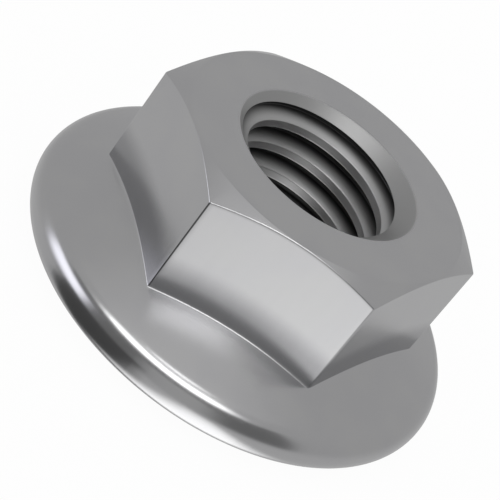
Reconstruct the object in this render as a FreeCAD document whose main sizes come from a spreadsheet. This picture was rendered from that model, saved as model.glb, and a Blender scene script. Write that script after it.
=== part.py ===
import FreeCAD, Part
import Sketcher
import math
import os

# Serrated flange nut: a hexagon with a rounded flange, a right-hand thread and locking teeth underneath.
# Millimetres and degrees. The bearing face lies on z = 0 around the origin, and the nut's axis is +Z.
# Two of the hexagon's corners lie on the X axis, so two of its flats face front and back.

# Driving dimensions
drivingSizes = [
    ("AcrossFlats", 13, "wrench size of the hexagon"),
    ("NutHeight", 8, "bearing face to top face"),
    ("CornerRound", 0.12, "radius on the six upright corners"),
    ("TopFaceInset", 0.06, "edge of the top face inside the flats"),
    ("ChamferAngle", 30, "slope of the chamfer round the top"),
    ("FlangeOverhang", 3.25, "edge of the flange beyond the flats"),
    ("RimRadius", 1.05, "round of the flange's rim"),
    ("FlangeSlope", 22, "slope of the flange's upper side"),
    ("ThreadDiameter", 8, "major diameter, at the thread's roots"),
    ("ThreadPitch", 1.25, "rise of the thread in one turn"),
    ("ThreadDepth", 0.625, "crest to root"),
    ("ThreadCrestWidth", 0.37, "flat on the crests, round the bore"),
    ("ThreadRootWidth", 0.16, "flat at the bottom of the thread"),
    ("ThreadOverlap", 0.15, "share of the depth that the thread's cutter stands into the bore"),
    ("ThreadRunIn", 1.73, "how far under the bearing face the thread's cutter starts, over the X axis"),
    ("CountersinkMargin", 0.2, "mouth of the bore beyond the thread's roots"),
    ("CountersinkAngle", 100, "full angle of the countersinks at both ends"),
    ("InnerLand", 1.3, "plain ring between the bore's mouth and the teeth"),
    ("SerrationCount", 24, "locking teeth round the bearing face"),
    ("SerrationDepth", 0.3, "height of the teeth"),
    ("ToothLandShare", 0.27, "share of a tooth's pitch that is flat crest"),
    ("SerrationRunout", 0.9, "length over which the gaps between the teeth fade out"),
    ("SerrationEndMargin", 0.1, "plain ring between the teeth and the rim's round"),
    ("CutterMargin", 0.5, "how far the turned cutters stand outside the metal"),
    ("ToothCutterMargin", 0.05, "how far the teeth's cutter ends under the bearing face"),
]

fullTurn = 360
hexagonSides = 6

document = FreeCAD.newDocument("FlangeNut")
sheet = document.addObject("Spreadsheet::Sheet", "Sizes")
for row, (alias, value, meaning) in enumerate(drivingSizes, start=1):
    sheet.set(f"A{row}", alias)
    sheet.set(f"B{row}", str(value))
    sheet.set(f"C{row}", meaning)
    sheet.setAlias(f"B{row}", alias)
document.recompute()

# Sizes that follow from them, as expressions
flatRadius = "(Sizes.AcrossFlats / 2)"
cornerRadius = "(Sizes.AcrossFlats / sqrt(3))"
topFaceRadius = f"({flatRadius} - Sizes.TopFaceInset)"
flangeRadius = f"({flatRadius} + Sizes.FlangeOverhang)"
rimCentre = f"({flangeRadius} - Sizes.RimRadius)"
majorRadius = "(Sizes.ThreadDiameter / 2)"
minorRadius = f"({majorRadius} - Sizes.ThreadDepth)"
mouthRadius = f"({majorRadius} + Sizes.CountersinkMargin)"
toothPitch = f"({fullTurn} / Sizes.SerrationCount)"
landHalf = f"({toothPitch} * Sizes.ToothLandShare / 2)"

body = document.addObject("PartDesign::Body", "FlangeNut")
body.Label = "flange_nut"


def newSketch(name, planeRole):
    plane = next(item for item in body.Origin.OriginFeatures if item.Role == planeRole)
    sketch = body.newObject("Sketcher::SketchObject", name)
    sketch.AttachmentSupport = [(plane, "")]
    sketch.MapMode = "FlatFace"
    document.recompute()
    return sketch


def bindConstraint(sketch, constraint, expression):
    index = sketch.addConstraint(constraint)
    sketch.setExpression(f"Constraints[{index}]", expression)


def pointAt(sketch, across, up):
    return FreeCAD.Vector(sketch.evalExpression(across), sketch.evalExpression(up), 0)


def placePoint(sketch, geometry, end, across, up):
    """Ties one end of a sketch line to the two expressions that place it."""
    origin = (-1, 1)
    place = pointAt(sketch, across, up)
    bindConstraint(sketch, Sketcher.Constraint("DistanceX", *origin, geometry, end, place.x), across)
    bindConstraint(sketch, Sketcher.Constraint("DistanceY", *origin, geometry, end, place.y), up)


def addPolygon(sketch, corners):
    """Closed outline through corners, each given as its two expressions."""
    places = [pointAt(sketch, across, up) for across, up in corners]
    following = places[1:] + places[:1]
    sides = [sketch.addGeometry(Part.LineSegment(here, there)) for here, there in zip(places, following)]
    for side, nextSide in zip(sides, sides[1:] + sides[:1]):
        sketch.addConstraint(Sketcher.Constraint("Coincident", side, 2, nextSide, 1))
    for side, (across, up) in zip(sides, corners):
        placePoint(sketch, side, 1, across, up)


def finishFeature(feature, change):
    """Recomputes and makes sure that the feature added or removed metal, as it is meant to."""
    document.recompute()
    gained = feature.Shape.Volume - volumes[-1]
    print(f"{feature.Name}: {gained:+.3f} mm3")
    if gained * change <= 0:
        raise RuntimeError(f"{feature.Name} changed the volume by {gained:.4f} mm3")
    volumes.append(feature.Shape.Volume)


def turnedFeature(kind, name, sketch, change):
    """Revolves a sketch about the nut's axis, to add metal or to cut it."""
    feature = body.newObject(f"PartDesign::{kind}", name)
    feature.Profile = sketch
    feature.ReferenceAxis = (sketch, ["V_Axis"])
    feature.Angle = fullTurn
    feature.Refine = False
    finishFeature(feature, change)
    return feature


adds = 1
cuts = -1
volumes = [0]

# Hexagon, with slightly rounded upright corners
hexagonSketch = newSketch("HexagonOutline", "XY_Plane")
hexagonTurns = [fullTurn * side / hexagonSides for side in range(hexagonSides)]
hexagonCorners = [(f"{cornerRadius} * cos({turn})", f"{cornerRadius} * sin({turn})") for turn in hexagonTurns]
addPolygon(hexagonSketch, hexagonCorners)
hexagon = body.newObject("PartDesign::Pad", "Hexagon")
hexagon.Profile = hexagonSketch
hexagon.setExpression("Length", "Sizes.NutHeight")
finishFeature(hexagon, adds)

levelEdge = 0.001
uprightEdges = [
    f"Edge{number}"
    for number, edge in enumerate(hexagon.Shape.Edges, start=1)
    if edge.BoundBox.ZLength > levelEdge
]
cornerRounds = body.newObject("PartDesign::Fillet", "CornerRounds")
cornerRounds.Base = (hexagon, uprightEdges)
cornerRounds.setExpression("Radius", "Sizes.CornerRound")
finishFeature(cornerRounds, cuts)

# Chamfer round the top: a cone through the edge of the top face
chamferSketch = newSketch("ChamferOutline", "XZ_Plane")
chamferOuter = f"({cornerRadius} + Sizes.CutterMargin)"
chamferFoot = f"Sizes.NutHeight - ({chamferOuter} - {topFaceRadius}) * tan(Sizes.ChamferAngle)"
chamferTop = "Sizes.NutHeight + Sizes.CutterMargin"
chamferCorners = [
    (f"{topFaceRadius} - Sizes.CutterMargin / tan(Sizes.ChamferAngle)", chamferTop),
    (chamferOuter, chamferFoot),
    (chamferOuter, chamferTop),
]
addPolygon(chamferSketch, chamferCorners)
turnedFeature("Groove", "TopChamfer", chamferSketch, cuts)

# Flange: flat underneath, a round rim, and a cone up to the hexagon, all tangent
flangeSketch = newSketch("FlangeOutline", "XZ_Plane")
rim = pointAt(flangeSketch, rimCentre, "Sizes.RimRadius")
rimRadius = rim.y
coneNormal = pointAt(flangeSketch, "sin(Sizes.FlangeSlope)", "cos(Sizes.FlangeSlope)")
coneFoot = rim + coneNormal * rimRadius
coneTop = FreeCAD.Vector(0, coneFoot.y + coneFoot.x * coneNormal.x / coneNormal.y, 0)
underside = flangeSketch.addGeometry(Part.LineSegment(FreeCAD.Vector(0, 0, 0), FreeCAD.Vector(rim.x, 0, 0)))
rimArc = flangeSketch.addGeometry(
    Part.Arc(FreeCAD.Vector(rim.x, 0, 0), FreeCAD.Vector(rim.x + rimRadius, rim.y, 0), coneFoot)
)
cone = flangeSketch.addGeometry(Part.LineSegment(coneFoot, coneTop))
axis = flangeSketch.addGeometry(Part.LineSegment(coneTop, FreeCAD.Vector(0, 0, 0)))
flangeSketch.addConstraint(Sketcher.Constraint("Coincident", underside, 1, -1, 1))
flangeSketch.addConstraint(Sketcher.Constraint("PointOnObject", underside, 2, -1))
flangeSketch.addConstraint(Sketcher.Constraint("Tangent", underside, 2, rimArc, 1))
flangeSketch.addConstraint(Sketcher.Constraint("Tangent", rimArc, 2, cone, 1))
flangeSketch.addConstraint(Sketcher.Constraint("PointOnObject", cone, 2, -2))
flangeSketch.addConstraint(Sketcher.Constraint("Coincident", cone, 2, axis, 1))
flangeSketch.addConstraint(Sketcher.Constraint("Coincident", axis, 2, underside, 1))
bindConstraint(flangeSketch, Sketcher.Constraint("DistanceX", -1, 1, rimArc, 3, rim.x), rimCentre)
bindConstraint(flangeSketch, Sketcher.Constraint("Radius", rimArc, rimRadius), "Sizes.RimRadius")
coneRise = f"{rimCentre} * tan(Sizes.FlangeSlope)"
coneTopHeight = f"Sizes.RimRadius + Sizes.RimRadius / cos(Sizes.FlangeSlope) + {coneRise}"
bindConstraint(flangeSketch, Sketcher.Constraint("DistanceY", -1, 1, cone, 2, coneTop.y), coneTopHeight)
turnedFeature("Revolution", "Flange", flangeSketch, adds)

# Locking serrations: ratchet-shaped gaps, steep on the side that grips when the nut is undone.
# Each gap keeps its depth across the bearing face and fades to nothing short of the rim's round.
serrationStart = f"({mouthRadius} + Sizes.InnerLand)"
serrationFade = f"({rimCentre} - Sizes.SerrationEndMargin)"
serrationFull = f"({serrationFade} - Sizes.SerrationRunout)"
fadeOvershoot = "Sizes.SerrationRunout * Sizes.ToothCutterMargin / Sizes.SerrationDepth"
serrationEnd = f"({serrationFade} + {fadeOvershoot})"
steepTangent = f"tan({landHalf})"
shallowTangent = f"tan({toothPitch} - {landHalf})"
baseShare = "(2 * Sizes.ToothCutterMargin / Sizes.SerrationDepth)"
baseTangent = f"({shallowTangent} + ({shallowTangent} - {steepTangent}) * {baseShare})"
cutterBase = "-2 * Sizes.ToothCutterMargin"


def addGapSection(name, radius, depth):
    """Triangle across a gap at this radius: upright steep side, ramp down to the next tooth."""
    sketch = newSketch(name, "YZ_Plane")
    sketch.setExpression("AttachmentOffset.Base.z", radius)
    document.recompute()
    steepSide = f"{radius} * {steepTangent}"
    rampFoot = f"{radius} * {baseTangent}"
    addPolygon(sketch, [(steepSide, cutterBase), (steepSide, depth), (rampFoot, cutterBase)])
    return sketch


gapSections = [
    addGapSection("GapStart", serrationStart, "Sizes.SerrationDepth"),
    addGapSection("GapFull", serrationFull, "Sizes.SerrationDepth"),
    addGapSection("GapEnd", serrationEnd, "-Sizes.ToothCutterMargin"),
]
gap = body.newObject("PartDesign::SubtractiveLoft", "SerrationGap")
gap.Profile = gapSections[0]
gap.Sections = gapSections[1:]
gap.Ruled = True
gap.Refine = False
finishFeature(gap, cuts)

zAxis = next(item for item in body.Origin.OriginFeatures if item.Role == "Z_Axis")
serrations = body.newObject("PartDesign::PolarPattern", "Serrations")
serrations.Originals = [gap]
serrations.Axis = (zAxis, [""])
serrations.Angle = fullTurn
serrations.Refine = False
serrations.setExpression("Occurrences", "Sizes.SerrationCount")
body.Tip = serrations
finishFeature(serrations, cuts)

# Bore at the thread's crests, drawn as two half circles
boreSketch = newSketch("BoreOutline", "XY_Plane")
boreRadius = boreSketch.evalExpression(minorRadius)
boreCircle = Part.Circle(FreeCAD.Vector(0, 0, 0), FreeCAD.Vector(0, 0, 1), boreRadius)
quarterTurn = math.pi / 2
rightHalf = boreSketch.addGeometry(Part.ArcOfCircle(boreCircle, -quarterTurn, quarterTurn))
leftHalf = boreSketch.addGeometry(Part.ArcOfCircle(boreCircle, quarterTurn, 3 * quarterTurn))
for half in (rightHalf, leftHalf):
    boreSketch.addConstraint(Sketcher.Constraint("Coincident", half, 3, -1, 1))
boreSketch.addConstraint(Sketcher.Constraint("Coincident", rightHalf, 2, leftHalf, 1))
boreSketch.addConstraint(Sketcher.Constraint("Coincident", leftHalf, 2, rightHalf, 1))
boreSketch.addConstraint(Sketcher.Constraint("PointOnObject", rightHalf, 2, -2))
boreSketch.addConstraint(Sketcher.Constraint("PointOnObject", leftHalf, 2, -2))
bindConstraint(boreSketch, Sketcher.Constraint("Radius", rightHalf, boreRadius), minorRadius)
bore = body.newObject("PartDesign::Pocket", "Bore")
bore.Profile = boreSketch
bore.Type = "ThroughAll"
bore.Reversed = True
bore.Refine = False
finishFeature(bore, cuts)

# Countersinks at both ends of the bore
countersinkSketch = newSketch("CountersinkOutlines", "XZ_Plane")
coneTangent = "tan(Sizes.CountersinkAngle / 2)"
coneInner = f"({minorRadius} - Sizes.CutterMargin)"
coneDepth = f"(({mouthRadius} - {coneInner}) / {coneTangent})"
coneWide = f"{mouthRadius} + Sizes.CutterMargin * {coneTangent}"
bottomCone = [(coneInner, "-Sizes.CutterMargin"), (coneWide, "-Sizes.CutterMargin"), (coneInner, coneDepth)]
topCone = [(across, f"Sizes.NutHeight - ({up})") for across, up in bottomCone]
addPolygon(countersinkSketch, bottomCone)
addPolygon(countersinkSketch, topCone)
turnedFeature("Groove", "Countersinks", countersinkSketch, cuts)

# Right-hand thread: the groove between the crests, wound up the bore and out through both countersinks
threadSketch = newSketch("ThreadOutline", "XZ_Plane")
grooveMouthHalf = "((Sizes.ThreadPitch - Sizes.ThreadCrestWidth) / 2)"
grooveRootHalf = "(Sizes.ThreadRootWidth / 2)"
grooveInner = f"{minorRadius} - Sizes.ThreadOverlap * Sizes.ThreadDepth"
grooveInnerHalf = f"({grooveMouthHalf} + Sizes.ThreadOverlap * ({grooveMouthHalf} - {grooveRootHalf}))"
grooveOutline = [
    (grooveInner, f"-Sizes.ThreadRunIn - {grooveInnerHalf}"),
    (majorRadius, f"-Sizes.ThreadRunIn - {grooveRootHalf}"),
    (majorRadius, f"-Sizes.ThreadRunIn + {grooveRootHalf}"),
    (grooveInner, f"-Sizes.ThreadRunIn + {grooveInnerHalf}"),
]
addPolygon(threadSketch, grooveOutline)
thread = body.newObject("PartDesign::SubtractiveHelix", "Thread")
thread.Profile = threadSketch
thread.ReferenceAxis = (threadSketch, ["V_Axis"])
thread.Mode = "pitch-height-angle"
thread.LeftHanded = False
thread.Refine = False
thread.setExpression("Pitch", "Sizes.ThreadPitch")
thread.setExpression("Height", "Sizes.NutHeight + 2 * Sizes.ThreadRunIn")
finishFeature(thread, cuts)

# Nothing is written unless every feature was made and the nut is one valid solid
for item in document.Objects:
    faults = [state for state in item.State if state in ("Invalid", "Error")]
    if faults:
        raise RuntimeError(f"{item.Name} is {faults}")
nut = body.Shape
if nut.isNull() or not nut.isValid() or len(nut.Solids) != 1:
    raise RuntimeError("the nut is not one valid solid")
os.makedirs("parts", exist_ok=True)
nut.exportStep(f"parts/{body.Label}.step")
box = nut.optimalBoundingBox()
print(f"{body.Label}: {nut.Volume:.2f} mm3, {box.XLength:.3f} x {box.YLength:.3f} x {box.ZLength:.3f} mm")
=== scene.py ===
from math import atan2, ceil, cos, degrees, hypot, pi, radians, sin, sqrt, tan

import bmesh
import bpy
from mathutils import Matrix, Quaternion, Vector


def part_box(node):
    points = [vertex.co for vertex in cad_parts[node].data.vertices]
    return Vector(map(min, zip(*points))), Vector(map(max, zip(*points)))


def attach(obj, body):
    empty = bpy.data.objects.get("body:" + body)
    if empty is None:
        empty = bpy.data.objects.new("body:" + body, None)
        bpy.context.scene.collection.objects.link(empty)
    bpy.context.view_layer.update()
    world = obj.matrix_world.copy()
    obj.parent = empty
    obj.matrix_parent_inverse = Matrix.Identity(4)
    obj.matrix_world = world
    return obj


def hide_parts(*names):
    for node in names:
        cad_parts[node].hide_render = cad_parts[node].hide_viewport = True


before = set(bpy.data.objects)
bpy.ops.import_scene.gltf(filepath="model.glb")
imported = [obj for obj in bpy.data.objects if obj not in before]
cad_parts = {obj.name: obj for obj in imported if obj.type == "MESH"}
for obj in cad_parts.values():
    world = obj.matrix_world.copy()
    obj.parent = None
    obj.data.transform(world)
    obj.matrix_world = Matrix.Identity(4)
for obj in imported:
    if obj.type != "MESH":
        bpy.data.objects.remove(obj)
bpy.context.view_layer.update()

# A serrated flange nut of satin steel, standing on its teeth in a plain pale studio.
# The nut is shaped in millimetres and scaled to metres when it is finished.

mm = 0.001
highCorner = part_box("flange_nut")[1]

nutSizes = {
    "height": highCorner.z / mm,        # bearing face to top face
    "flangeRadius": highCorner.y / mm,
    "acrossFlats": 13.0,
    "cornerRound": 0.12,                # radius on the upright corners
    "topInset": 0.06,                   # edge of the top face inside the flats
    "chamferSlope": 30.0,
    "rimRadius": 1.05,
    "flangeSlope": 22.0,
    "mouthRadius": 4.2,                 # countersinks at both faces
    "sinkAngle": 100.0,                 # their full angle
    "boreRadius": 3.375,                # crests of the thread
    "rootFillet": 0.09,                 # hollow between the flange and the flats
    "edgeRound": 0.08,                  # flats to chamfer
    "chamferRound": 0.1,                # chamfer to top face
    "mouthRound": 0.1,
    "support": 0.06,                    # plain strip kept flat beside each round
}

toothSizes = {
    "count": 24,
    "depth": 0.3,
    "innerRadius": 5.5,
    "outerRadius": 8.6,                 # the gaps have faded out here
    "fadeLength": 0.9,
    "landShare": 0.27,                  # share of a tooth's pitch that is flat crest
    "wallSoftness": 0.35,               # degrees over which the steep wall bends in and out
    "endSoftness": 0.05,                # the same at the gaps' inner end, in millimetres
}

threadSizes = {
    "pitch": 1.25,
    "rootRadius": 4.0,
    "mouthHalf": 0.44,                  # half of the groove at the crests
    "rootHalf": 0.08,                   # half of the groove at its bottom
    "rootRound": 0.05,
    "crestBevel": 0.03,
    "start": -1.73,                     # height of the groove's middle over the +X axis
    "cutterStand": 0.045,               # how far the cutter stands into the bore
    "turns": 10,
    "stepsPerTurn": 160,
}

meshSteps = {
    "cornerRound": 8,
    "rim": 30,
    "small": 6,                         # rounds beside the flats
    "mouth": 5,
    "grooveRoot": 3,
    "toothWall": (-2.5, -1.5, -0.5, 0.5, 1.5, 2.5),  # columns across a steep wall, in fifths of its width
    "rampEnd": (-0.5, 0, 0.5),          # columns where a ramp meets the next crest, in wall softnesses
    "widest": 1.4,                      # degrees between two columns
    "sharpAngle": 35.0,                 # degrees over which an edge stays sharp
}


# Section of the nut

def roundedOutline(corners):
    # Each corner is (across, up, radius, steps). An arc of that many steps takes the corner's place.
    points = []
    for before, corner, after in zip(corners[-1:] + corners[:-1], corners, corners[1:] + corners[:1]):
        place = Vector(corner[:2])
        radius, steps = corner[2:]
        if radius == 0:
            points.append(place)
            continue
        inward = (place - Vector(before[:2])).normalized()
        outward = (Vector(after[:2]) - place).normalized()
        turn = inward.angle_signed(outward)             # positive is clockwise
        setback = radius * tan(abs(turn) / 2)
        side = 1 if turn > 0 else -1
        centre = place - inward * setback + side * radius * Vector((inward.y, -inward.x))
        spoke = (place - inward * setback) - centre
        for step in range(steps + 1):
            share = -turn * step / steps
            points.append(centre + Vector((
                spoke.x * cos(share) - spoke.y * sin(share),
                spoke.x * sin(share) + spoke.y * cos(share),
            )))
    return points


def cornerCentre():
    # Distance from the axis to the middle of an upright corner's round.
    return (nutSizes["acrossFlats"] / 2 - nutSizes["cornerRound"]) / cos(pi / 6)


def cornerAngle(lean):
    # Where a point of an upright corner's round lies, for the direction in which its surface faces.
    corner = nutSizes["cornerRound"]
    return atan2(corner * sin(lean), cornerCentre() + corner * cos(lean))


def hexagonRadius(angle):
    # Distance from the axis to the hexagon's side, whose corners lie at 0, 60, 120 degrees and so on.
    fromCorner = abs((angle + pi / 6) % (pi / 3) - pi / 6)
    if fromCorner > cornerAngle(pi / 6):
        return nutSizes["acrossFlats"] / 2 / cos(pi / 6 - fromCorner)
    centre = cornerCentre()
    return centre * cos(fromCorner) + sqrt(nutSizes["cornerRound"] ** 2 - (centre * sin(fromCorner)) ** 2)


def flangeCone():
    # How far out the rim's middle lies, how high the cone is over it, and the cone's fall outwards.
    slope = radians(nutSizes["flangeSlope"])
    rimRadius = nutSizes["rimRadius"]
    return nutSizes["flangeRadius"] - rimRadius, rimRadius + rimRadius / cos(slope), tan(slope)


def toothAngles():
    # From one crest's middle to the next, and to the crest's edge.
    pitch = 2 * pi / toothSizes["count"]
    return pitch, pitch * toothSizes["landShare"] / 2


def softStep(value):
    # 0 below -1, 1 above 1, and a smooth rise between them.
    share = min(max((value + 1) / 2, 0), 1)
    return share * share * (3 - 2 * share)


def gapDepth(radius, angle):
    # Depth of the gaps between the teeth: steep on one side, a ramp up to the next tooth on the other.
    pitch, steep = toothAngles()
    shallow = pitch - steep
    place = angle % pitch
    wall = softStep((place - steep) / radians(toothSizes["wallSoftness"]))
    ramp = min(max((tan(shallow) - tan(place)) / (tan(shallow) - tan(steep)), 0), 1)
    start = softStep((radius - toothSizes["innerRadius"]) / toothSizes["endSoftness"])
    fade = min(max((toothSizes["outerRadius"] - radius) / toothSizes["fadeLength"], 0), 1)
    return toothSizes["depth"] * wall * ramp * start * fade


def sectionAt(angle):
    # Closed outline of the nut's section, from the bore's foot round the outside to the bore's top.
    side = hexagonRadius(angle)
    height = nutSizes["height"]
    rimCentre, coneAtRim, slope = flangeCone()
    rimCorner = rimCentre + coneAtRim / slope
    coneTop = coneAtRim - (side - rimCentre) * slope
    topRadius = nutSizes["acrossFlats"] / 2 - nutSizes["topInset"]
    chamferFoot = height - (side - topRadius) * tan(radians(nutSizes["chamferSlope"]))
    mouth = nutSizes["mouthRadius"]
    bore = nutSizes["boreRadius"]
    small = meshSteps["small"]
    support = nutSizes["support"]
    filletEnd = nutSizes["rootFillet"] + support
    roundEnd = nutSizes["edgeRound"] + support
    topEnd = nutSizes["mouthRound"] + support
    grooveEnd = threadSizes["rootRadius"] + support
    sinkRise = 1 / tan(radians(nutSizes["sinkAngle"] / 2))
    boreDepth = (mouth - bore) * sinkRise
    grooveDepth = (mouth - grooveEnd) * sinkRise
    corners = [
        (bore, boreDepth, 0, 0),
        (grooveEnd, grooveDepth, 0, 0),
        (mouth, 0, nutSizes["mouthRound"], meshSteps["mouth"]),
        (mouth + topEnd, 0, 0, 0),
        *((radius, 0, 0, 0) for radius in toothRadii()),
        (rimCorner, 0, nutSizes["rimRadius"], meshSteps["rim"]),
        (rimCentre, coneAtRim, 0, 0),
        (side + filletEnd, coneTop - filletEnd * slope, 0, 0),
        (side, coneTop, nutSizes["rootFillet"], small),
        (side, coneTop + filletEnd, 0, 0),
        (side, chamferFoot - roundEnd, 0, 0),
        (side, chamferFoot, nutSizes["edgeRound"], small),
        (topRadius, height, nutSizes["chamferRound"], small // 2),
        (topRadius - topEnd, height, 0, 0),
        (mouth + topEnd, height, 0, 0),
        (mouth, height, nutSizes["mouthRound"], meshSteps["mouth"]),
        (grooveEnd, height - grooveDepth, 0, 0),
        (bore, height - boreDepth, 0, 0),
    ]
    return roundedOutline(corners)


def toothRadii():
    # Distances from the axis at which the underside has a row of points for the teeth.
    inner = toothSizes["innerRadius"]
    soft = toothSizes["endSoftness"]
    outer = toothSizes["outerRadius"]
    full = outer - toothSizes["fadeLength"]
    return [*(inner + soft * step / 2 for step in range(-2, 3)), full - soft, full, outer]


def columnAngles():
    # Angles of the sections in one turn: close together at the upright corners and the teeth's edges.
    angles = []
    for number in range(6):
        for step in range(meshSteps["cornerRound"] + 1):
            lean = pi / 6 * (2 * step / meshSteps["cornerRound"] - 1)
            angles.append(number * pi / 3 + cornerAngle(lean))
    pitch, steep = toothAngles()
    soft = radians(toothSizes["wallSoftness"])
    across = meshSteps["toothWall"]
    for tooth in range(toothSizes["count"]):
        wall = tooth * pitch + steep
        angles += [wall + soft * step / across[-1] for step in across]
        angles += [(tooth + 1) * pitch - steep + soft * step for step in meshSteps["rampEnd"]]
    angles = sorted(angle % (2 * pi) for angle in angles)
    filled = []
    for here, there in zip(angles, angles[1:] + [angles[0] + 2 * pi]):
        steps = ceil((there - here) / radians(meshSteps["widest"]))
        filled += [here + (there - here) * step / steps for step in range(steps)]
    return filled


# Meshes and cuts

def newObject(name, bm):
    mesh = bpy.data.meshes.new(name)
    bm.to_mesh(mesh)
    bm.free()
    piece = bpy.data.objects.new(name, mesh)
    bpy.context.scene.collection.objects.link(piece)
    return piece


def turnedBlank():
    # A ring is spun from one section, and each of its sections is then pressed into its own form.
    angles = columnAngles()
    sections = [sectionAt(angle) for angle in angles]
    bm = bmesh.new()
    station = bm.verts.layers.int.new("station")
    corners = []
    for number, point in enumerate(sections[0]):
        vertex = bm.verts.new((point.x, 0, point.y))
        vertex[station] = number
        corners.append(vertex)
    sides = [bm.edges.new(pair) for pair in zip(corners, corners[1:] + corners[:1])]
    bmesh.ops.spin(
        bm, geom=corners + sides, cent=(0, 0, 0), axis=(0, 0, 1), dvec=(0, 0, 0),
        angle=2 * pi, steps=len(angles), use_merge=True, use_normal_flip=False, use_duplicate=False,
    )
    for vertex in bm.verts:
        column = round(atan2(vertex.co.y, vertex.co.x) / (2 * pi) * len(angles)) % len(angles)
        angle = angles[column]
        point = sections[column][vertex[station]]
        lift = gapDepth(point.x, angle) if point.y == 0 else 0
        vertex.co = (point.x * cos(angle), point.x * sin(angle), point.y + lift)
    bmesh.ops.recalc_face_normals(bm, faces=bm.faces)
    return newObject("flangeNutSteel", bm)


def threadCutter():
    # The groove's outline, wound up the bore as a right-hand screw.
    size = threadSizes
    bore = nutSizes["boreRadius"]
    lean = atan2(size["mouthHalf"] - size["rootHalf"], size["rootRadius"] - bore)
    bevel = size["crestBevel"]
    bevelSlope = (bevel + bevel * sin(lean)) / (bevel * cos(lean))
    innerHalf = size["mouthHalf"] + bevel + size["cutterStand"] * bevelSlope
    flankHalf = size["mouthHalf"] - bevel * sin(lean)
    flankRadius = bore + bevel * cos(lean)
    outline = roundedOutline([
        (bore - size["cutterStand"], -innerHalf, 0, 0),
        (flankRadius, -flankHalf, 0, 0),
        (size["rootRadius"], -size["rootHalf"], size["rootRound"], meshSteps["grooveRoot"]),
        (size["rootRadius"], size["rootHalf"], size["rootRound"], meshSteps["grooveRoot"]),
        (flankRadius, flankHalf, 0, 0),
        (bore - size["cutterStand"], innerHalf, 0, 0),
    ])
    bm = bmesh.new()
    corners = [bm.verts.new((point.x, 0, point.y + size["start"])) for point in outline]
    sides = [bm.edges.new(pair) for pair in zip(corners, corners[1:] + corners[:1])]
    steps = size["turns"] * size["stepsPerTurn"]
    bmesh.ops.spin(
        bm, geom=corners + sides, cent=(0, 0, 0), axis=(0, 0, 1),
        dvec=(0, 0, size["pitch"] / size["stepsPerTurn"]),
        angle=2 * pi * size["turns"], steps=steps,
        use_merge=False, use_normal_flip=False, use_duplicate=False,
    )
    bmesh.ops.holes_fill(bm, edges=[edge for edge in bm.edges if edge.is_boundary], sides=0)
    bmesh.ops.recalc_face_normals(bm, faces=bm.faces)
    return newObject("threadCutter", bm)


def cutAway(piece, cutter):
    cut = piece.modifiers.new("cut", "BOOLEAN")
    cut.operation = "DIFFERENCE"
    cut.solver = "EXACT"
    cut.object = cutter
    bpy.context.view_layer.update()
    mesh = bpy.data.meshes.new_from_object(piece.evaluated_get(bpy.context.evaluated_depsgraph_get()))
    piece.modifiers.clear()
    piece.data = mesh
    bpy.data.objects.remove(cutter)


# How the faces of the cut thread are told apart: by distance, and by the upward part of their normal
threadFaces = {
    "reach": 0.01,                      # crests lie this close to the bore
    "rootReach": 0.02,
    "uprightRise": 0.1,                 # less on crests and roots
    "flankMargin": 0.03,
    "bevelRise": 0.7,                   # less on bevels and fillets
}


def threadNormals(mesh):
    # Crests, flanks and roots keep their own normals right to their ends, so only small bevels look round.
    bore = nutSizes["boreRadius"]
    root = threadSizes["rootRadius"]
    flankRise = cos(atan2(threadSizes["mouthHalf"] - threadSizes["rootHalf"], root - bore))
    reach = threadFaces["reach"]
    plain = {}
    touched = []
    for face in mesh.polygons:
        radius = hypot(face.center.x, face.center.y)
        if not bore - reach < radius < root + reach:
            continue
        rise = abs(face.normal.z)
        isCrestOrRoot = radius < bore + reach or radius > root - threadFaces["rootReach"]
        isUpright = isCrestOrRoot and rise < threadFaces["uprightRise"]
        isFlank = abs(rise - flankRise) < threadFaces["flankMargin"]
        if isUpright or isFlank:
            for number in face.vertices:
                plain[number] = plain.get(number, Vector()) + face.normal
        if isFlank or rise < threadFaces["bevelRise"]:
            touched.append(face)
    normals = [Vector()] * len(mesh.loops)              # a zero vector leaves a corner as it is
    for face in touched:
        for corner, number in zip(face.loop_indices, face.vertices):
            if number in plain:
                normals[corner] = plain[number].normalized()
    mesh.normals_split_custom_set(normals)


def finishedNut():
    nut = turnedBlank()
    print("blank:", len(nut.data.polygons), "faces")
    cutAway(nut, threadCutter())
    print("thread cut:", len(nut.data.polygons), "faces")
    nut.data.shade_smooth()
    nut.data.set_sharp_from_angle(angle=radians(meshSteps["sharpAngle"]))
    threadNormals(nut.data)
    nut.data.transform(Matrix.Scale(mm, 4))
    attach(nut, "root")
    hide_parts("flange_nut")
    return nut


# Shaders

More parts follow.
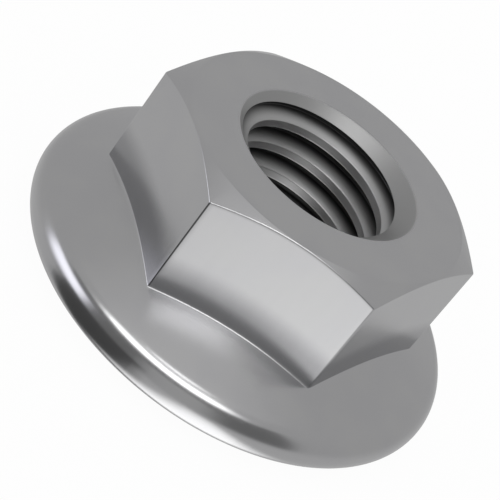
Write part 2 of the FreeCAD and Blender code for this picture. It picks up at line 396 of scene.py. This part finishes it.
class Wire:
    # A socket of a node tree. Arithmetic on it adds Math nodes, and node() adds any other node.
    def __init__(self, tree, socket=None):
        self.tree = tree
        self.socket = socket

    def node(self, kind, settings, inputs, output=0):
        made = self.tree.nodes.new("ShaderNode" + kind)
        for name, value in settings.items():
            setattr(made, name, value)
        for name, value in inputs.items():
            if isinstance(value, Wire):
                self.tree.links.new(value.socket, made.inputs[name])
            else:
                made.inputs[name].default_value = value
        return Wire(self.tree, made.outputs[output] if len(made.outputs) else None)

    def mix(self, share, first, second):
        return self.node("Mix", {"data_type": "RGBA"}, {0: share, 6: first, 7: second}, 2)

    def ramp(self, start, end):
        # A smooth rise from 0 at start to 1 at end.
        low, high = min(start, end), max(start, end)
        limits = (0.0, 1.0) if start < end else (1.0, 0.0)
        return self.node("MapRange", {"interpolation_type": "SMOOTHSTEP"}, {
            "Value": self, "From Min": low, "From Max": high, "To Min": limits[0], "To Max": limits[1],
        })

    def dot(self, vector):
        return self.node("VectorMath", {"operation": "DOT_PRODUCT"}, {0: self, 1: vector}, "Value")

    def math(self, operation, *values):
        return self.node("Math", {"operation": operation}, dict(enumerate(values)))

    def __add__(self, other):
        return self.math("ADD", self, other)

    def __radd__(self, other):
        return self.math("ADD", other, self)

    def __sub__(self, other):
        return self.math("SUBTRACT", self, other)

    def __rsub__(self, other):
        return self.math("SUBTRACT", other, self)

    def __mul__(self, other):
        return self.math("MULTIPLY", self, other)

    def __rmul__(self, other):
        return self.math("MULTIPLY", other, self)

    def __truediv__(self, other):
        return self.math("DIVIDE", self, other)


def emptyTree(owner):
    owner.use_nodes = True
    owner.node_tree.nodes.clear()
    return Wire(owner.node_tree)


def spanShare(value, span):
    # Begins to show, is full, begins to fade, has faded.
    rise = value.ramp(span[0], span[1])
    return rise * (1 - value.ramp(span[2], span[3]))


steelLook = {
    "colour": (0.56, 0.56, 0.57, 1),
    "palerColour": (0.575, 0.575, 0.58, 1),
    "roughness": 0.2,
    "roughnessMottle": 0.06,
    "mottleScale": 0.5,                 # per millimetre
    "mottleDetail": 4.0,
    "mottleSpan": (0.35, 0.65),         # values of the mottle between which the colour gets paler
    "layScale": 7.0,                    # lines left by the tools, per millimetre
    "layDetail": 3.0,
    "layStretch": 0.06,                 # up the flats the lines vary so much less
    "layHeight": 0.0004,                # millimetres
    "layRoughness": 0.04,
    "threadEdges": (0.1, 0.05),         # outside the roots: where the thread's finish begins, is full
    "threadColour": (0.56, 0.56, 0.56, 1),
    "threadRoughness": 0.4,             # the cut thread is duller than the pressed faces
    # painted shade at the bottom of the thread's groove
    "rootPaintedShade": (0.08, 0.08, 0.08, 1),
    "rootShade": (0.15, 1.0),           # share of the thread's depth over which painted shade darkens it toward the root
    "sinkColour": (0.42, 0.42, 0.42, 1),  # the countersinks
    "sinkRoughness": 0.44,
    "sinkEdges": (0.01, 0.03),          # under a countersink: where the thread's finish begins, is full
    "mouthEdge": 0.05,                  # half the width over which the countersinks' finish fades
    "flatEdges": (0.02, 0.1),           # over the flange: where the flats' lines begin, are full
    "footPaintedShade": (0.37, 0.37, 0.38, 1),
    "footShadeBand": (0.02, 0.06, 0.9, 2.0),  # heights on the flats over the flange: painted shade, a darker band at their foot where the flange's cone meets them
}


def steelFinish():
    material = bpy.data.materials.new("satinSteel")
    tree = emptyTree(material)
    metres = tree.node("TexCoord", {}, {}, "Object")
    place = tree.node("VectorMath", {"operation": "SCALE"}, {0: metres, "Scale": 1 / mm})
    flat = tree.node("VectorMath", {"operation": "MULTIPLY"}, {0: place, 1: (1, 1, 0)})
    radius = tree.node("VectorMath", {"operation": "LENGTH"}, {0: flat}, "Value")
    height = place.dot((0, 0, 1))

    # Under the countersinks the bore is cut thread.
    sinkRise = 1 / tan(radians(nutSizes["sinkAngle"] / 2))
    sinkDepth = (nutSizes["mouthRadius"] - radius) * sinkRise
    root = threadSizes["rootRadius"]
    thread = radius.ramp(*(root + edge for edge in steelLook["threadEdges"]))
    thread = thread * (height - sinkDepth).ramp(*steelLook["sinkEdges"])
    thread = thread * (nutSizes["height"] - sinkDepth - height).ramp(*steelLook["sinkEdges"])

    # Over the flange's cone the flats begin, and a band of painted shade darkens their foot.
    rimCentre, coneAtRim, slope = flangeCone()
    overFlange = height - coneAtRim + (radius - rimCentre) * slope
    foot = spanShare(overFlange, steelLook["footShadeBand"])

    # Turned faces carry rings round the axis, and the drawn flats carry lines along it.
    mottle = tree.node("TexNoise", {}, {
        "Vector": place, "Scale": steelLook["mottleScale"], "Detail": steelLook["mottleDetail"],
    }, "Fac")
    rings = tree.node("CombineXYZ", {}, {"X": radius, "Y": height})
    stretch = (1, 1, steelLook["layStretch"])
    lines = tree.node("VectorMath", {"operation": "MULTIPLY"}, {0: place, 1: stretch})
    half = nutSizes["acrossFlats"] / 2
    drawn = overFlange.ramp(*steelLook["flatEdges"]) * radius.ramp(half - nutSizes["topInset"], half)
    lay = tree.node("Mix", {"data_type": "VECTOR"}, {0: drawn, 4: rings, 5: lines}, 1)
    lay = tree.node("TexNoise", {}, {
        "Vector": lay, "Scale": steelLook["layScale"], "Detail": steelLook["layDetail"],
    }, "Fac")
    bump = tree.node("Bump", {}, {"Strength": 1.0, "Distance": steelLook["layHeight"] * mm, "Height": lay})

    colour = tree.mix(mottle.ramp(*steelLook["mottleSpan"]), steelLook["colour"], steelLook["palerColour"])
    # Painted shade: a darker band at the foot of the flats, where they meet the flange's cone.
    colour = tree.mix(foot, colour, steelLook["footPaintedShade"])
    mouth = nutSizes["mouthRadius"]
    sink = radius.ramp(mouth + steelLook["mouthEdge"], mouth - steelLook["mouthEdge"]) * (1 - thread)
    colour = tree.mix(sink, colour, steelLook["sinkColour"])
    # Painted shade: the cut thread darkens toward the bottom of its groove, as a recess would in shade.
    deep = (radius - nutSizes["boreRadius"]) / (root - nutSizes["boreRadius"])
    cut = tree.mix(deep.ramp(*steelLook["rootShade"]), steelLook["threadColour"], steelLook["rootPaintedShade"])
    colour = tree.mix(thread, colour, cut)
    roughness = steelLook["roughness"] + (mottle - 0.5) * steelLook["roughnessMottle"]
    roughness = roughness + (lay - 0.5) * steelLook["layRoughness"]
    roughness = roughness + sink * (steelLook["sinkRoughness"] - steelLook["roughness"])
    roughness = roughness + thread * (steelLook["threadRoughness"] - steelLook["roughness"])
    shader = tree.node("BsdfPrincipled", {}, {
        "Base Color": colour,
        "Metallic": 1.0,
        "Roughness": roughness,
        "Normal": bump,
    })
    tree.node("OutputMaterial", {}, {"Surface": shader})
    return material


# Studio

floorLook = {
    "radius": 600.0,
    "segments": 96,
    "depth": 0.01,                      # a hair under the teeth, so that the two faces don't coincide
    "colour": (0.75, 0.75, 0.75, 1),
    "whiteForCamera": 0.96,             # share of plain white in what the camera sees of the floor
}

# What the metal sees of the room. Azimuth 0 is along +Y and 90 along +X.
# The room is far away, and its floor is a part of it, so the paper itself stays out of reflections.
# Each span says where a panel begins to show, is full, begins to fade and has faded.
roomLook = {
    "level": 0.465,
    "zenithLevel": 0.62,
    "zenithSpan": (55, 80),             # elevations between which the ceiling gets lighter
    "groundLevel": 0.54,
    "groundSpan": (0, -30),
    "panelSpan": (0, -4),               # under the horizon the floor's panels come in
    "leastDepth": 0.001,                # keeps the floor's far end from a division by nothing
}

# Spans in degrees, to the right of the azimuth and up from the horizon
wallPanels = {
    "darkFront": {
        "azimuth": -168, "across": (-74, -66, 66, 74), "up": (-22, -6, 38, 44),
        "colour": (0.18, 0.18, 0.18, 1),
    },
    "paleFront": {
        "azimuth": -179, "across": (-26, -12, 12, 26), "up": (-30, -12, 26, 34),
        "colour": (0.46, 0.46, 0.46, 1),
    },
    "topSoftbox": {
        "azimuth": -168, "across": (-56, -30, 30, 56), "up": (41, 49, 52, 67),
        "colour": (3.6, 3.6, 3.6, 1),
    },
    "upperGlow": {                      # lights the cone by way of the front flat
        "azimuth": -180, "across": (-52, -20, 25, 42), "up": (69, 74, 77, 83),
        "colour": (2.3, 2.3, 2.3, 1),
    },
    "leftSoftbox": {
        "azimuth": -99, "across": (-26, -16, 7, 19), "up": (-16, 8, 21, 29),
        "colour": (1.72, 1.72, 1.85, 1),
    },
}

# Spans on the floor, in heights of the eye over it, each along its own azimuth
floorPanels = {
    "darkGround": {
        "sides": [(158.8, (-0.56, -0.36, 90, 99)), (-71, (-0.05, 0.25, 90, 99))],
        "colour": (0.08, 0.08, 0.08, 1),
    },
    "brightGround": {
        "sides": [(170, (-0.35, -0.1, 0.2, 3.0)), (-100, (-0.65, -0.3, -0.1, 0.38))],
        "colour": (1.76, 1.76, 1.76, 1),
    },
}


def paleFloor():
    bm = bmesh.new()
    bmesh.ops.create_circle(
        bm, cap_ends=True, segments=floorLook["segments"], radius=floorLook["radius"] * mm,
    )
    bmesh.ops.translate(bm, vec=(0, 0, -floorLook["depth"] * mm), verts=bm.verts)
    floor = newObject("paleFloor", bm)
    material = bpy.data.materials.new("palePaper")
    tree = emptyTree(material)
    lit = tree.node("BsdfDiffuse", {}, {"Color": floorLook["colour"]})
    white = tree.node("Emission", {}, {"Color": (1, 1, 1, 1), "Strength": 1.0})
    camera = tree.node("LightPath", {}, {}, "Is Camera Ray")
    share = camera * floorLook["whiteForCamera"]
    paper = tree.node("MixShader", {}, {0: share, 1: lit, 2: white})

    # Seen from below the paper is clear, and the teeth show.
    below = tree.node("NewGeometry", {}, {}, "Backfacing")
    clear = tree.node("BsdfTransparent", {}, {})
    oneSided = tree.node("MixShader", {}, {0: below, 1: paper, 2: clear})
    tree.node("OutputMaterial", {}, {"Surface": oneSided})
    floor.data.materials.append(material)
    floor.visible_glossy = False


def heading(azimuth, elevation):
    level = cos(radians(elevation))
    return Vector((sin(radians(azimuth)) * level, cos(radians(azimuth)) * level, sin(radians(elevation))))


def studioRoom():
    world = bpy.data.worlds.new("studioRoom")
    bpy.context.scene.world = world
    tree = emptyTree(world)
    direction = tree.node("TexCoord", {}, {}, "Generated")
    glossy = tree.node("LightPath", {}, {}, "Is Glossy Ray")
    transmission = tree.node("LightPath", {}, {}, "Is Transmission Ray")
    rise = direction.dot((0, 0, 1))
    elevation = rise.math("ARCSINE", rise) * degrees(1)
    depth = rise.math("MAXIMUM", 0 - rise, roomLook["leastDepth"])
    plain = roomLook["level"]
    level = plain + elevation.ramp(*roomLook["zenithSpan"]) * (roomLook["zenithLevel"] - plain)
    level = level + elevation.ramp(*roomLook["groundSpan"]) * (roomLook["groundLevel"] - plain)
    room = tree.node("CombineColor", {}, {"Red": level, "Green": level, "Blue": level})
    for panel in wallPanels.values():
        ahead = direction.dot(heading(panel["azimuth"], 0))
        aside = direction.dot(heading(panel["azimuth"] + 90, 0))
        across = rise.math("ARCTAN2", aside, ahead) * degrees(1)
        share = spanShare(across, panel["across"]) * spanShare(elevation, panel["up"])
        room = tree.mix(share, room, panel["colour"])
    below = elevation.ramp(*roomLook["panelSpan"])
    for panel in floorPanels.values():
        share = below
        for azimuth, span in panel["sides"]:
            share = share * spanShare(direction.dot(heading(azimuth, 0)) / depth, span)
        room = tree.mix(share, room, panel["colour"])
    colour = tree.mix(glossy.math("MAXIMUM", glossy, transmission), (1, 1, 1, 1), room)
    background = tree.node("Background", {}, {"Color": colour, "Strength": 1.0})
    tree.node("OutputWorld", {}, {"Surface": background})


cameraView = {                          # millimetres and degrees
    "aim": (-0.411, 0.064, 2.462),
    "distance": 88.796,
    "azimuth": 8.90,
    "tilt": 31.91,
    "roll": 37.66,
    "lens": 153.94,
    "sensor": 36.0,
    "nearest": 2.0,
    "farthest": 5000.0,
}


def photoCamera():
    data = bpy.data.cameras.new("photoCamera")
    data.lens = cameraView["lens"]
    data.sensor_width = cameraView["sensor"]
    data.clip_start = cameraView["nearest"] * mm
    data.clip_end = cameraView["farthest"] * mm
    camera = bpy.data.objects.new("photoCamera", data)
    forward = heading(cameraView["azimuth"], -cameraView["tilt"])
    camera.location = (Vector(cameraView["aim"]) - forward * cameraView["distance"]) * mm
    camera.rotation_mode = "QUATERNION"
    level = forward.to_track_quat("-Z", "Y")
    camera.rotation_quaternion = level @ Quaternion((0, 0, 1), radians(cameraView["roll"]))
    bpy.context.scene.collection.objects.link(camera)
    bpy.context.scene.camera = camera


photoCamera()
nut = finishedNut()
nut.data.materials.clear()
nut.data.materials.append(steelFinish())
print("nut finished")
paleFloor()
studioRoom()
bpy.context.scene.view_settings.view_transform = "Standard"
print("studio set")
